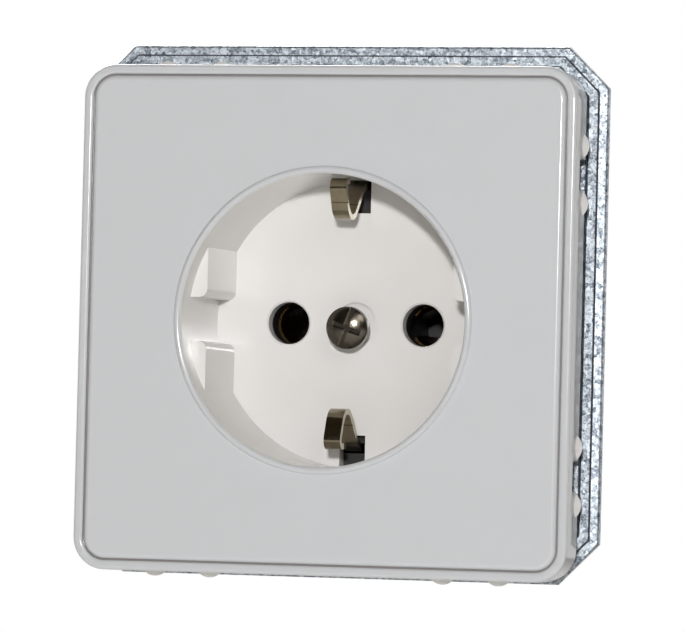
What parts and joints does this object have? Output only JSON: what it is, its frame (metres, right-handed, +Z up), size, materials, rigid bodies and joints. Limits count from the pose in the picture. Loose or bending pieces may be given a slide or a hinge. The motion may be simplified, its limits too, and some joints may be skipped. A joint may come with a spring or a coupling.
{
  "type": "wall socket",
  "caption": "Square flush-mounting wall socket with a round plug well, round pin holes, side earth clips and a steel mounting plate, shown without its outer frame.",
  "frame": {"origin": "middle of the mounting plate, on the wall plane, midway between the box screws", "axes": "+X right, +Y into the wall, +Z up the wall"},
  "size_m": [0.0722, 0.0401, 0.0725],
  "materials": {
    "cover_plastic": "smooth white thermoplastic, semi-gloss",
    "base_plastic": "dark moulded thermoset, matt",
    "plate_steel": "hot-dip zinc coat with its spangle",
    "screw_steel": "bright nickel plate",
    "fixing_steel": "bright zinc plate",
    "terminal_steel": "yellow-passivated zinc plate",
    "spring_steel": "blank spring steel",
    "yoke_brass": "nickel-plated brass strip",
    "contact_brass": "plain brass strip",
    "insert_brass": "plain turned brass"
  },
  "bodies": {
    "root": {"cover_plate": "cover_plastic", "centre_screw": "screw_steel", "threaded_insert": "insert_brass", "base_block": "base_plastic", "contact_guard": "base_plastic", "guard_screws": "fixing_steel", "plate_screws": "fixing_steel", "mounting_plate": "plate_steel", "earth_yoke": "yoke_brass", "live_contact": "contact_brass", "neutral_contact": "contact_brass", "live_backing_spring": "spring_steel", "neutral_backing_spring": "spring_steel", "live_upper_screw": "terminal_steel", "live_upper_clamp": "terminal_steel", "live_lower_screw": "terminal_steel", "live_lower_clamp": "terminal_steel", "neutral_upper_screw": "terminal_steel", "neutral_upper_clamp": "terminal_steel", "neutral_lower_screw": "terminal_steel", "neutral_lower_clamp": "terminal_steel", "earth_right_screw": "terminal_steel", "earth_right_clamp": "terminal_steel", "earth_left_screw": "terminal_steel", "earth_left_clamp": "terminal_steel"}
  },
  "joints": []
}
